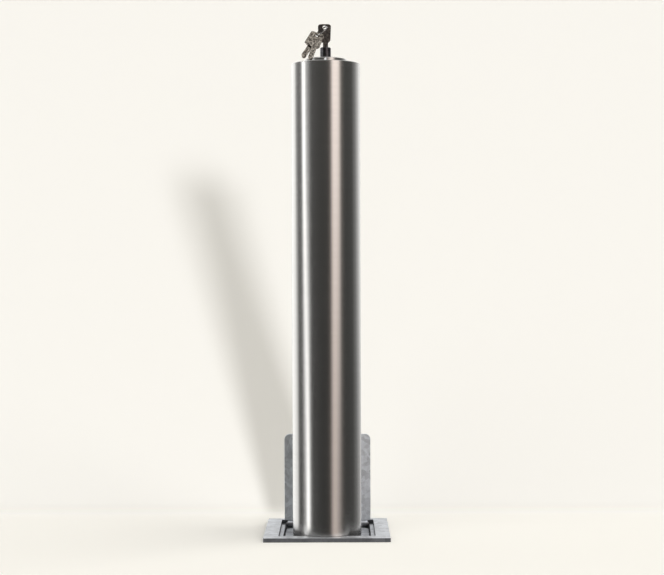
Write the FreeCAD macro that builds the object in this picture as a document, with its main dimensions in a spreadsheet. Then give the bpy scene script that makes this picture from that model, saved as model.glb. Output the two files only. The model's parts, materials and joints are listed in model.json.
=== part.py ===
import FreeCAD, Part
import math
import os
import Sketcher

# A lift-out security post standing in a ground socket with a hinged lid.
# The origin lies on the post's axis, level with the underside of the frame plate.
# +Z is up, and the lid stands on the +Y side of the post.

os.makedirs("parts", exist_ok=True)
doc = FreeCAD.newDocument("lift_out_post")
Vector = FreeCAD.Vector

# Driving dimensions, in millimetres and degrees
DIMENSIONS = (
    ("tube_radius", 50.8, "outside radius of the post tube"),
    ("tube_wall", 2.0, "wall of the post tube"),
    ("post_height", 698.0, "rim of the tube above the ground"),
    ("post_depth", 195.0, "length of tube below the ground"),
    ("rim_edge", 0.6, "chamfer of the tube's rim"),
    ("disc_gap", 0.05, "gap between the tube and the discs welded into it"),
    ("cap_thick", 6.0, "thickness of the top cap"),
    ("boss_radius", 31.0, "radius of the raised disc round the lock"),
    ("boss_height", 7.0, "height of the raised disc"),
    ("boss_edge", 0.8, "chamfer of the raised disc"),
    ("sleeve_radius", 14.0, "outside radius of the lock sleeve"),
    ("sleeve_clear", 1.0, "sleeve's lower end above the barrel's end"),
    ("sleeve_set", 1.0, "depth of the sleeve's end below the raised disc's top"),
    ("sleeve_gap", 0.05, "gap round the sleeve in the cap and the disc"),
    ("sleeve_nut_flats", 38.0, "width across the flats of the sleeve's nut"),
    ("sleeve_nut_thick", 8.0, "thickness of the sleeve's nut"),
    ("dowel_radius", 1.75, "radius of the dowel in the front of the disc"),
    ("dowel_gap", 2.0, "gap between that dowel and the sleeve"),
    ("dowel_drop", 2.9, "its axis below the raised disc's top"),
    ("barrel_radius", 8.0, "radius of the lock barrel"),
    ("barrel_rise", 17.5, "lock barrel above the raised disc, unlocked"),
    ("barrel_length", 54.0, "length of the lock barrel"),
    ("barrel_edge", 0.7, "chamfer of the lock barrel's top"),
    ("slide_gap", 0.06, "radial running gap of barrel, rod and bolt"),
    ("plug_radius", 6.0, "radius of the turning plug"),
    ("plug_length", 24.0, "length of the plug"),
    ("plug_proud", 0.3, "plug above the barrel's top"),
    ("plug_gap", 0.05, "radial gap round the plug"),
    ("rod_radius", 5.0, "radius of the push rod"),
    ("rod_seat", 12.0, "length of rod inside the barrel"),
    ("push_travel", 10.0, "travel of the lock barrel"),
    ("bolt_throw", 9.0, "travel of the cross bolt"),
    ("collar_flats", 20.0, "width across the flats of the rod's collar"),
    ("collar_height", 8.0, "height of the rod's collar"),
    ("collar_drop", 16.0, "collar's top below the end of the barrel"),
    ("spring_radius", 8.6, "mean radius of the return spring"),
    ("spring_wire", 1.1, "radius of its wire"),
    ("spring_length", 46.0, "length of the spring at rest"),
    ("spring_turns", 6.0, "turns of the spring"),
    ("disc_thick", 5.0, "thickness of the six-sided plates inside the tube"),
    ("guide_height", 260.0, "lower rod guide above the ground"),
    ("bolt_radius", 9.0, "radius of the cross bolt"),
    ("bolt_above_foot", 55.0, "axis of the cross bolt above the post's foot"),
    ("bolt_back", 31.0, "rear end of the bolt from the axis"),
    ("bolt_set", 1.2, "bolt's tip inside the tube's surface"),
    ("bolt_tip", 2.0, "chamfer of the bolt's tip"),
    ("bolt_hole_gap", 0.4, "gap round the bolt in the tube's wall"),
    ("bolt_pin_radius", 3.0, "radius of the pin across the bolt"),
    ("pin_gap", 0.03, "gap round that pin in the bolt"),
    ("cam_thick", 6.0, "thickness of the cam plate"),
    ("cam_front", 21.5, "cam plate from the axis on the bolt's side"),
    ("cam_rear", 12.0, "cam plate from the axis on the other side"),
    ("cam_below", 16.0, "cam plate below the bolt's axis"),
    ("cam_gap", 0.15, "gap beside the cam plate"),
    ("cam_run", 0.5, "slot beyond the pin at each end of its travel"),
    ("cam_neck", 8.0, "half width of the cam plate's neck under the rod"),
    ("rod_stop_gap", 1.0, "pushed rod above the bolt's housing"),
    ("housing_half_width", 17.0, "half width of the bolt's housing"),
    ("housing_half_height", 18.0, "half height of the bolt's housing"),
    ("foot_thick", 6.0, "thickness of the foot plate"),
    ("foot_bore", 24.0, "radius of the hole in the foot plate"),
    ("frame_side", 41.7, "side edges of the frame plate beyond the tube"),
    ("frame_front_edge", 11.7, "front edge of the frame plate beyond the tube"),
    ("frame_back_edge", 66.7, "back edge of the frame plate beyond the tube"),
    ("frame_thick", 6.0, "thickness of the frame plate"),
    ("frame_corner", 1.5, "radius of the frame plate's corners"),
    ("mouth_side", 19.95, "side edges of the opening beyond the tube"),
    ("mouth_notch", 8.3, "front edge of the opening behind the front of the tube"),
    ("mouth_back_edge", 52.5, "back edge of the opening beyond the tube"),
    ("notch_gap", 1.7, "round notch in the front edge beyond the tube"),
    ("casing_room", 2.7, "inner front wall of the casing beyond the tube"),
    ("casing_wall", 3.0, "wall of the casing"),
    ("casing_bend", 2.0, "inside radius of the casing's bends"),
    ("seat_gap", 0.2, "gap under the post's foot"),
    ("base_thick", 5.0, "thickness of the base plate"),
    ("drain_radius", 20.0, "radius of the drain hole"),
    ("guide_gap", 1.2, "gap round the post in the guide plates"),
    ("guide_thick", 5.0, "thickness of the guide plates"),
    ("guide_drop", 4.4, "top of the upper guide plate below the ground"),
    ("guide_side", 12.2, "side edges of the upper guide plate beyond the tube"),
    ("guide_back_edge", 38.2, "back edge of the upper guide plate beyond the tube"),
    ("guide_corner", 12.0, "radius of its rear corners"),
    ("keeper_play", 1.0, "lower guide plate above the locked bolt"),
    ("cross_bar_middle", 21.2, "middle of the cross bar beyond the tube"),
    ("cross_bar_width", 10.0, "width of the cross bar"),
    ("cross_bar_height", 6.0, "height of the cross bar"),
    ("rail_width", 6.0, "width of the rails that the closed lid rests on"),
    ("rail_height", 10.0, "height of those rails"),
    ("rail_start", 12.8, "front end of the rails behind the front of the tube"),
    ("rail_back_end", 37.2, "back end of the rails beyond the tube"),
    ("lid_side", 15.7, "side edges of the lid beyond the tube"),
    ("lid_end_gap", 1.0, "gap between the closed lid's far edge and the opening's front edge"),
    ("lid_thick", 5.0, "thickness of the lid"),
    ("lid_corner", 8.0, "radius of the lid's far corners"),
    ("lid_gap", 0.3, "gap between the open lid and the plate it leans on"),
    ("hinge_offset", 0.5, "hinge axis from the lid's face"),
    ("knuckle_radius", 5.0, "radius of the hinge knuckles"),
    ("knuckle_gap", 0.4, "gap between neighbouring knuckles"),
    ("knuckle_end", 11.2, "outer end of the row of knuckles beyond the tube"),
    ("knuckle_clear", 0.6, "gap between the lid's edge and the knuckles"),
    ("hinge_pin_radius", 2.5, "radius of the hinge pin"),
    ("hinge_pin_gap", 0.05, "gap round the hinge pin"),
    ("hinge_pin_over", 2.0, "hinge pin beyond the knuckles"),
    ("anchor_width", 25.0, "width of the ground anchors"),
    ("anchor_thick", 4.0, "thickness of the ground anchors"),
    ("anchor_leg", 45.0, "leg of an anchor along the casing"),
    ("anchor_reach", 38.0, "leg of an anchor into the ground"),
    ("anchor_rise", 30.2, "feet of the anchors above the base plate"),
    ("anchor_place", 28.0, "anchors from the casing's middle"),
    ("anchor_split", 14.0, "depth of the split in an anchor's end"),
    ("key_thick", 2.2, "thickness of the keys"),
    ("key_left", 9.8, "left side of the bow from its hole"),
    ("key_right", 9.8, "right side of the bow from its hole"),
    ("key_above", 4.7, "top of the bow above its hole"),
    ("key_below", 23.0, "shoulder of the bow below its hole"),
    ("key_corner", 4.0, "radius of the bow's top corners"),
    ("key_taper", 1.0, "narrowing of the bow's sides"),
    ("key_slope", 3.5, "height of the bow's sloping shoulder"),
    ("key_hole_radius", 2.8, "radius of the hole in the bow"),
    ("blade_length", 22.7, "length of the blade below the shoulder"),
    ("blade_half_width", 3.75, "half width of the blade"),
    ("blade_shift", 1.5, "middle of the blade from the bow's hole"),
    ("blade_gap", 0.2, "gap round the blade in the plug"),
    ("blade_groove_width", 1.4, "width of the groove along the blade"),
    ("blade_groove_depth", 0.5, "depth of the groove along the blade"),
    ("cut_pitch", 3.2, "distance between the cuts in the blade"),
    ("cut_deep", 1.6, "depth of every second cut"),
    ("cut_shallow", 0.9, "depth of the cuts between"),
    ("key_stand", 7.0, "shoulder of the key above the barrel"),
    ("ring_radius", 10.5, "mean radius of the key ring"),
    ("ring_wire", 0.7, "radius of the key ring's wire"),
    ("ring_in_right", 0.2, "ring's wire right of the middle of the key's hole"),
    ("ring_in_above", 0.2, "ring's wire above the middle of the key's hole"),
    ("ring_side", 1.6, "gap between the ring's wire and the side of the bow"),
    ("ring_fall", 9.5, "ring's wire at the side of the bow below that in the hole"),
    ("ring_tilt", 20.0, "tilt of the ring downwards from straight to the front"),
    ("ring_hang", 0.8, "a spare key's hole below the ring's wire"),
    ("hang_turn", 36.0, "turn of the hanging keys from the front to the left"),
    ("key_fan", 6.0, "turn of each spare key to its side"),
    ("key_spacing", 2.9, "distance between the two spare keys"),
    ("tip_gap", 1.2, "tip of the lower spare key above the cap"),
)

sheet = doc.addObject("Spreadsheet::Sheet", "dims")
for row, (alias, value, meaning) in enumerate(DIMENSIONS, start=1):
    sheet.set("A%d" % row, alias)
    sheet.set("B%d" % row, str(value))
    sheet.set("C%d" % row, meaning)
    sheet.setAlias("B%d" % row, alias)
doc.recompute()
size = {alias: float(sheet.get(alias)) for alias, value, meaning in DIMENSIONS}

# Levels and places that several pieces share, as formulas on the sheet
TUBE_BORE = "(dims.tube_radius - dims.tube_wall)"
DISC_RADIUS = "(%s - dims.disc_gap)" % TUBE_BORE
BOSS_TOP = "(dims.post_height + dims.boss_height)"
BARREL_TOP = "(%s + dims.barrel_rise)" % BOSS_TOP
BARREL_END = "(%s - dims.barrel_length)" % BARREL_TOP
PLUG_TOP = "(%s + dims.plug_proud)" % BARREL_TOP
PLUG_END = "(%s - dims.plug_length)" % PLUG_TOP
SLEEVE_TOP = "(%s - dims.sleeve_set)" % BOSS_TOP
SLEEVE_END = "(%s + dims.sleeve_clear)" % BARREL_END
SLEEVE_BORE = "(dims.barrel_radius + dims.slide_gap)"
CAP_UNDERSIDE = "(dims.post_height - dims.cap_thick)"
COLLAR_TOP = "(%s - dims.collar_drop)" % BARREL_END
COLLAR_END = "(%s - dims.collar_height)" % COLLAR_TOP
SPRING_END = "(%s - dims.spring_length)" % COLLAR_END
ROD_BORE = "(dims.rod_radius + dims.slide_gap)"
BOLT_LEVEL = "(dims.bolt_above_foot - dims.post_depth)"
BOLT_BORE = "(dims.bolt_radius + dims.slide_gap)"
HOUSING_TOP = "(%s + dims.housing_half_height)" % BOLT_LEVEL
CAM_TOP = "(%s + dims.push_travel + dims.rod_stop_gap)" % HOUSING_TOP
HOUSING_END = "(%s - dims.housing_half_height)" % BOLT_LEVEL
FOOT_LEVEL = "(-dims.post_depth)"
BASE_TOP = "(-dims.post_depth - dims.seat_gap)"
CASING_END = "(%s - dims.base_thick)" % BASE_TOP
GUIDE_HOLE = "(dims.tube_radius + dims.guide_gap)"
GUIDE_TOP = "(-dims.guide_drop)"
GUIDE_END = "(%s - dims.guide_thick)" % GUIDE_TOP
KEEPER_END = "(%s + dims.bolt_radius + dims.keeper_play)" % BOLT_LEVEL
FRAME_HALF_WIDTH = "(dims.tube_radius + dims.frame_side)"
FRAME_FRONT = "(dims.tube_radius + dims.frame_front_edge)"
FRAME_BACK = "(dims.tube_radius + dims.frame_back_edge)"
MOUTH_HALF_WIDTH = "(dims.tube_radius + dims.mouth_side)"
MOUTH_FRONT = "(dims.tube_radius - dims.mouth_notch)"
MOUTH_BACK = "(dims.tube_radius + dims.mouth_back_edge)"
CASING_FRONT = "(dims.tube_radius + dims.casing_room)"
GUIDE_HALF_WIDTH = "(dims.tube_radius + dims.guide_side)"
GUIDE_BACK = "(dims.tube_radius + dims.guide_back_edge)"
CROSS_BAR_PLACE = "(dims.tube_radius + dims.cross_bar_middle)"
RAIL_BACK = "(dims.tube_radius + dims.rail_back_end)"
LID_HALF_WIDTH = "(dims.tube_radius + dims.lid_side)"
KNUCKLE_SPAN = "(dims.tube_radius + dims.knuckle_end)"
RAIL_FRONT = "(dims.tube_radius - dims.rail_start)"
LID_BACK = "(%s - dims.lid_gap)" % MOUTH_BACK
LID_FACE = "(%s - dims.lid_thick)" % LID_BACK
HINGE_Y = "(%s - dims.hinge_offset)" % LID_FACE
HINGE_Z = "(dims.frame_thick - dims.lid_thick - dims.hinge_offset)"
LID_TOP = "(%s + %s + %s - dims.lid_end_gap)" % (HINGE_Z, HINGE_Y, MOUTH_FRONT)
LID_EDGE = "(%s + dims.knuckle_radius + dims.knuckle_clear)" % HINGE_Z
KEY_HOLE_LEVEL = "(%s + dims.key_stand + dims.key_below)" % BARREL_TOP

AXIS_X = Vector(1, 0, 0)
AXIS_Y = Vector(0, 1, 0)
AXIS_Z = Vector(0, 0, 1)
WIRE_SIDES = 6
RUNS_PER_TURN = 9
RUNS_IN_KEY_RING = 30
nodes = []


# Small steps that the pieces below are made of

def keep(thing, name):
    """Name a finished piece and put it on the list of nodes."""
    thing.Label = name
    nodes.append(thing)
    return thing


def new_body(name):
    return doc.addObject("PartDesign::Body", name + "_body")


def new_sketch(body, name, role, offset="0"):
    """A sketch on one of the body's own planes, moved along the plane's normal."""
    plane = [feature for feature in body.Origin.OriginFeatures if feature.Role == role][0]
    sketch = body.newObject("Sketcher::SketchObject", name)
    sketch.AttachmentSupport = [(plane, "")]
    sketch.MapMode = "FlatFace"
    sketch.setExpression(".AttachmentOffset.Base.z", offset)
    return sketch


def fix_point(sketch, geometry, point, x, y, start):
    """Tie one point of a sketch to its formulas for the two directions."""
    for kind, formula, first_value in (("DistanceX", x, start.x), ("DistanceY", y, start.y)):
        index = sketch.addConstraint(Sketcher.Constraint(kind, -1, 1, geometry, point, first_value))
        sketch.setExpression("Constraints[%d]" % index, formula)


def add_outline(sketch, corners):
    """A closed outline through corners, each a pair of formulas."""
    count = len(corners)
    first = sketch.GeometryCount
    spread = 30.0
    start = [Vector(spread * math.cos(2 * math.pi * i / count), spread * math.sin(2 * math.pi * i / count), 0)
             for i in range(count)]
    for i in range(count):
        sketch.addGeometry(Part.LineSegment(start[i], start[(i + 1) % count]))
    for i in range(count):
        sketch.addConstraint(Sketcher.Constraint("Coincident", first + i, 2, first + (i + 1) % count, 1))
    for i, (x, y) in enumerate(corners):
        fix_point(sketch, first + i, 1, x, y, start[i])


def add_circle(sketch, x, y, radius):
    start = Vector(1, 1, 0)
    geometry = sketch.addGeometry(Part.Circle(start, AXIS_Z, 5))
    fix_point(sketch, geometry, 3, x, y, start)
    index = sketch.addConstraint(Sketcher.Constraint("Radius", geometry, 5))
    sketch.setExpression("Constraints[%d]" % index, radius)


def rectangle(low_x, low_y, high_x, high_y):
    return [(low_x, low_y), (high_x, low_y), (high_x, high_y), (low_x, high_y)]


def pad(body, name, sketch, length, symmetric=False):
    feature = body.newObject("PartDesign::Pad", name)
    feature.Profile = sketch
    feature.setExpression("Length", length)
    if symmetric:
        feature.SideType = "Symmetric"
    return feature


def cut_through(body, name, sketch):
    """Cut a sketch's outlines right through the body, both ways."""
    feature = body.newObject("PartDesign::Pocket", name)
    feature.Profile = sketch
    feature.Type = "ThroughAll"
    feature.SideType = "Symmetric"
    return feature


def cut_across(body, name, sketch, length):
    """Cut a sketch's outlines over a length that the sketch lies in the middle of."""
    feature = body.newObject("PartDesign::Pocket", name)
    feature.Profile = sketch
    feature.SideType = "Symmetric"
    feature.setExpression("Length", length)
    return feature


def turn(body, name, profile):
    """Turn a profile of (radius, height) corners round the Z axis."""
    sketch = new_sketch(body, name + "_profile", "XZ_Plane")
    add_outline(sketch, profile)
    feature = body.newObject("PartDesign::Revolution", name)
    feature.Profile = sketch
    feature.ReferenceAxis = (sketch, ["V_Axis"])
    feature.Angle = 360
    return feature


def turned_piece(name, profile):
    body = new_body(name)
    turn(body, name + "_turned", profile)
    return keep(body, name)


def straight_edges(shape, axis, test):
    """Names of the straight edges along an axis whose middle passes a test."""
    names = []
    for number, edge in enumerate(shape.Edges, start=1):
        if edge.Curve.TypeId == "Part::GeomLine" and abs(edge.Curve.Direction.dot(axis)) > 0.999:
            if test(edge.CenterOfMass):
                names.append("Edge%d" % number)
    return names


def round_edges(shape, radius, height):
    """Names of the circular edges with one radius at one height."""
    names = []
    for number, edge in enumerate(shape.Edges, start=1):
        if edge.Curve.TypeId == "Part::GeomCircle" and abs(edge.Curve.Radius - radius) < 0.01:
            if abs(edge.Curve.Center.z - height) < 0.01:
                names.append("Edge%d" % number)
    return names


def dress(body, kind, name, base, edges, radius):
    """Round or chamfer some edges of a feature."""
    feature = body.newObject("PartDesign::" + kind, name)
    feature.Base = (base, edges)
    feature.setExpression("Radius" if kind == "Fillet" else "Size", radius)
    return feature


def box(name, low, high):
    """A block between two corners, each three formulas."""
    block = doc.addObject("Part::Box", name)
    for key, axis in (("Length", 0), ("Width", 1), ("Height", 2)):
        block.setExpression(key, "(%s) - (%s)" % (high[axis], low[axis]))
    for axis, letter in enumerate("xyz"):
        block.setExpression(".Placement.Base.%s" % letter, low[axis])
    return block


def cylinder(name, radius, start, length, along):
    """A cylinder from a start point, in the direction of X, Y or Z."""
    rod = doc.addObject("Part::Cylinder", name)
    rod.setExpression("Radius", radius)
    rod.setExpression("Height", length)
    if along == AXIS_X:
        rod.Placement.Rotation = FreeCAD.Rotation(AXIS_Y, 90)
    if along == AXIS_Y:
        rod.Placement.Rotation = FreeCAD.Rotation(AXIS_X, -90)
    for axis, letter in enumerate("xyz"):
        rod.setExpression(".Placement.Base.%s" % letter, start[axis])
    return rod


def subtract(name, base, tool):
    result = doc.addObject("Part::Cut", name)
    result.Base = base
    result.Tool = tool
    return result


def unite(name, pieces):
    result = doc.addObject("Part::MultiFuse", name)
    result.Shapes = pieces
    return result


# Post: tube, cap and the fixed pieces inside it

def make_tube():
    body = new_body("post_tube")
    section = new_sketch(body, "tube_section", "XY_Plane", FOOT_LEVEL)
    add_circle(section, "0", "0", "dims.tube_radius")
    add_circle(section, "0", "0", TUBE_BORE)
    pad(body, "tube_length", section, "dims.post_height + dims.post_depth")
    bolt_hole = new_sketch(body, "tube_bolt_hole", "YZ_Plane", "dims.tube_radius")
    add_circle(bolt_hole, "0", BOLT_LEVEL, "dims.bolt_radius + dims.bolt_hole_gap")
    pocket = body.newObject("PartDesign::Pocket", "tube_bolt_pocket")
    pocket.Profile = bolt_hole
    pocket.setExpression("Length", "dims.tube_radius")
    doc.recompute()
    rim = round_edges(pocket.Shape, size["tube_radius"], size["post_height"])
    dress(body, "Chamfer", "tube_rim", pocket, rim, "dims.rim_edge")
    return keep(body, "post_tube")


def make_cap():
    bore = "dims.sleeve_radius + dims.sleeve_gap"
    return turned_piece("top_cap", rectangle(bore, CAP_UNDERSIDE, DISC_RADIUS, "dims.post_height"))


def make_boss():
    body = new_body("lock_boss")
    bore = "dims.sleeve_radius + dims.sleeve_gap"
    turn(body, "boss_turned", [
        (bore, "dims.post_height"),
        ("dims.boss_radius", "dims.post_height"),
        ("dims.boss_radius", "%s - dims.boss_edge" % BOSS_TOP),
        ("dims.boss_radius - dims.boss_edge", BOSS_TOP),
        (bore, BOSS_TOP),
    ])
    hole = new_sketch(body, "boss_dowel_hole", "XZ_Plane", "0")
    add_circle(hole, "0", "%s - dims.dowel_drop" % BOSS_TOP, "dims.dowel_radius + dims.pin_gap")
    pocket = body.newObject("PartDesign::Pocket", "boss_dowel_pocket")
    pocket.Profile = hole
    pocket.Reversed = True
    pocket.setExpression("Length", "dims.boss_radius + dims.boss_edge")
    return keep(body, "lock_boss")


def make_sleeve():
    return turned_piece("lock_sleeve", rectangle(SLEEVE_BORE, SLEEVE_END, "dims.sleeve_radius", SLEEVE_TOP))


def make_dowel():
    level = "%s - dims.dowel_drop" % BOSS_TOP
    dowel = cylinder("boss_dowel_rod", "dims.dowel_radius",
                     ("0", "-dims.boss_radius", level),
                     "dims.boss_radius - dims.sleeve_radius - dims.dowel_gap", AXIS_Y)
    return keep(dowel, "boss_dowel")


def hexagon_piece(name, low, thick, flats, bore):
    """A six-sided plate or nut with a round bore in its middle."""
    body = new_body(name)
    sketch = new_sketch(body, name + "_section", "XY_Plane", low)
    corner = "(%s) / sqrt(3)" % flats
    half = "(%s) / 2" % flats
    add_outline(sketch, [
        (corner, "0"),
        ("(%s) / 2" % corner, half),
        ("-(%s) / 2" % corner, half),
        ("-%s" % corner, "0"),
        ("-(%s) / 2" % corner, "-%s" % half),
        ("(%s) / 2" % corner, "-%s" % half),
    ])
    add_circle(sketch, "0", "0", bore)
    pad(body, name + "_pad", sketch, thick)
    return keep(body, name)


def wire_solid(centres, radius, closed):
    """A wire of straight runs between centres, each a point and two directions across the wire."""
    rings = []
    for centre, side, up in centres:
        ring = []
        for corner in range(WIRE_SIDES):
            angle = 2 * math.pi * corner / WIRE_SIDES
            ring.append(centre + side * (radius * math.cos(angle)) + up * (radius * math.sin(angle)))
        rings.append(ring)
    followers = rings[1:] + rings[:1] if closed else rings[1:]
    faces = []
    for ring, after in zip(rings, followers):
        for corner in range(WIRE_SIDES):
            ahead = (corner + 1) % WIRE_SIDES
            halves = ((ring[corner], ring[ahead], after[ahead]), (ring[corner], after[ahead], after[corner]))
            for triangle in halves:
                faces.append(Part.Face(Part.makePolygon(triangle + triangle[:1])))
    if not closed:
        for ring in (rings[0], rings[-1]):
            faces.append(Part.Face(Part.makePolygon(ring + ring[:1])))
    return Part.Solid(Part.Shell(faces))


def make_spring():
    """The return spring, wound between its seat and the collar."""
    wire = size["spring_wire"]
    runs = int(size["spring_turns"] * RUNS_PER_TURN)
    rise = (size["spring_length"] - 2 * wire) / runs
    centres = []
    for number in range(runs + 1):
        angle = 2 * math.pi * number / RUNS_PER_TURN
        outward = Vector(math.cos(angle), math.sin(angle), 0)
        centres.append((outward * size["spring_radius"] + AXIS_Z * (number * rise), outward, AXIS_Z))
    spring = doc.addObject("Part::Feature", "spring_wire_coil")
    spring.Shape = wire_solid(centres, wire, False)
    spring.setExpression(".Placement.Base.z", "%s + dims.spring_wire" % SPRING_END)
    return keep(spring, "return_spring")


def make_bolt_housing():
    """The block that guides the cross bolt, from one side of the tube's bore to the other."""
    half_width = "dims.housing_half_width"
    block = box("housing_block", ("-%s" % TUBE_BORE, "-%s" % half_width, HOUSING_END),
                (TUBE_BORE, half_width, HOUSING_TOP))
    trim = cylinder("housing_trim", DISC_RADIUS, ("0", "0", HOUSING_END),
                    "2 * dims.housing_half_height", AXIS_Z)
    body = doc.addObject("Part::Common", "housing_trimmed")
    body.Base = block
    body.Tool = trim
    bore = cylinder("housing_bore", BOLT_BORE, ("-dims.tube_radius", "0", BOLT_LEVEL),
                    "2 * dims.tube_radius", AXIS_X)
    slot = box("housing_slot",
               ("-dims.cam_rear - dims.cam_gap", "-dims.cam_thick / 2 - dims.cam_gap", HOUSING_END),
               ("dims.cam_front + dims.cam_gap", "dims.cam_thick / 2 + dims.cam_gap", HOUSING_TOP))
    return keep(subtract("bolt_housing_cut", subtract("housing_bored", body, bore), slot), "bolt_housing")


# Plunger: lock barrel, rod and cam plate, which slide down together to lock

def make_barrel():
    plug_bore = "dims.plug_radius + dims.plug_gap"
    rod_bore = "dims.rod_radius + dims.disc_gap"
    rod_top = "%s + dims.rod_seat" % BARREL_END
    return turned_piece("lock_barrel", [
        (rod_bore, BARREL_END),
        ("dims.barrel_radius", BARREL_END),
        ("dims.barrel_radius", "%s - dims.barrel_edge" % BARREL_TOP),
        ("dims.barrel_radius - dims.barrel_edge", BARREL_TOP),
        (plug_bore, BARREL_TOP),
        (plug_bore, PLUG_END),
        ("0", PLUG_END),
        ("0", rod_top),
        (rod_bore, rod_top),
    ])


def make_rod():
    length = "%s + dims.rod_seat - %s" % (BARREL_END, CAM_TOP)
    return keep(cylinder("rod", "dims.rod_radius", ("0", "0", CAM_TOP), length, AXIS_Z), "push_rod")


def make_collar():
    """The six-sided collar on the rod that the spring pushes up."""
    return hexagon_piece("rod_collar", COLLAR_END, "dims.collar_height", "dims.collar_flats",
                         "dims.rod_radius + dims.disc_gap")


def make_cam():
    """The cam plate: its straight sloping slot drives the bolt's pin sideways."""
    body = new_body("cam_plate")
    outline = new_sketch(body, "cam_outline", "XZ_Plane")
    nose = "dims.cam_front - dims.housing_half_height / 2"
    shoulder = "%s - dims.cam_run" % HOUSING_TOP
    add_outline(outline, [
        ("-dims.cam_rear", "%s - dims.cam_below" % BOLT_LEVEL),
        ("dims.cam_front", "%s - dims.cam_below" % BOLT_LEVEL),
        ("dims.cam_front", "%s + dims.housing_half_height / 2" % BOLT_LEVEL),
        (nose, shoulder),
        ("dims.cam_neck", shoulder),
        ("dims.cam_neck", CAM_TOP),
        ("-dims.cam_neck", CAM_TOP),
        ("-dims.cam_neck", shoulder),
        ("-dims.cam_rear", shoulder),
    ])
    pad(body, "cam_pad", outline, "dims.cam_thick", symmetric=True)
    slot_length = "sqrt(pow(dims.bolt_throw; 2) + pow(dims.push_travel; 2))"
    along_x = "(dims.bolt_throw / %s)" % slot_length
    along_z = "(dims.push_travel / %s)" % slot_length
    reach = "(%s + dims.cam_run)" % slot_length
    half = "(dims.bolt_pin_radius + dims.slide_gap)"
    slot = new_sketch(body, "cam_slot", "XZ_Plane")
    corners = []
    for side, end in ((-1, "(-dims.cam_run)"), (1, "(-dims.cam_run)"), (1, reach), (-1, reach)):
        x = "%s * %s + %d * %s * %s" % (along_x, end, side, along_z, half)
        z = "%s + %s * %s - %d * %s * %s" % (BOLT_LEVEL, along_z, end, side, along_x, half)
        corners.append((x, z))
    add_outline(slot, corners)
    cut_through(body, "cam_slot_cut", slot)
    for name, end in (("cam_slot_low", "(-dims.cam_run)"), ("cam_slot_high", reach)):
        round_end = new_sketch(body, name, "XZ_Plane")
        add_circle(round_end, "%s * %s" % (along_x, end),
                   "%s + %s * %s" % (BOLT_LEVEL, along_z, end), half)
        cut_through(body, name + "_cut", round_end)
    return keep(body, "cam_plate")


# Bolt: slides out of the post's foot under the lower guide plate

def make_bolt():
    tip = "dims.tube_radius - dims.bolt_set"
    rod = cylinder("bolt_rod", "dims.bolt_radius", ("-dims.bolt_back", "0", BOLT_LEVEL),
                   "%s + dims.bolt_back" % tip, AXIS_X)
    doc.recompute()
    chamfer = doc.addObject("Part::Chamfer", "bolt_chamfered")
    chamfer.Base = rod
    end_edges = [number for number, edge in enumerate(rod.Shape.Edges, start=1)
                 if edge.Curve.TypeId == "Part::GeomCircle" and edge.CenterOfMass.x > 0]
    chamfer.Edges = [(number, size["bolt_tip"], size["bolt_tip"]) for number in end_edges]
    slit = box("bolt_slit",
               ("-dims.cam_rear - dims.bolt_throw - dims.cam_run", "-dims.cam_thick / 2 - dims.cam_gap",
                "%s - dims.bolt_radius" % BOLT_LEVEL),
               ("dims.cam_front + dims.cam_run", "dims.cam_thick / 2 + dims.cam_gap",
                "%s + dims.bolt_radius" % BOLT_LEVEL))
    half = "(dims.bolt_radius - dims.cam_run)"
    pin = cylinder("bolt_pin", "dims.bolt_pin_radius", ("0", "-%s" % half, BOLT_LEVEL), "2 * %s" % half,
                   AXIS_Y)
    return keep(unite("bolt_with_pin", [subtract("bolt_slitted", chamfer, slit), pin]), "cross_bolt")


# Lock plug and keys

def make_plug():
    body = new_body("lock_plug")
    turn(body, "plug_turned", rectangle("0", PLUG_END, "dims.plug_radius", PLUG_TOP))
    slot = new_sketch(body, "plug_key_slot", "XZ_Plane")
    half = "(dims.blade_half_width + dims.blade_gap)"
    slot_end = "%s - dims.key_below - dims.blade_length - dims.blade_gap" % KEY_HOLE_LEVEL
    add_outline(slot, rectangle("-%s" % half, slot_end, half, "%s + dims.plug_proud" % PLUG_TOP))
    cut_across(body, "plug_key_cut", slot, "dims.key_thick + dims.blade_gap")
    return keep(body, "lock_plug")


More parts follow.
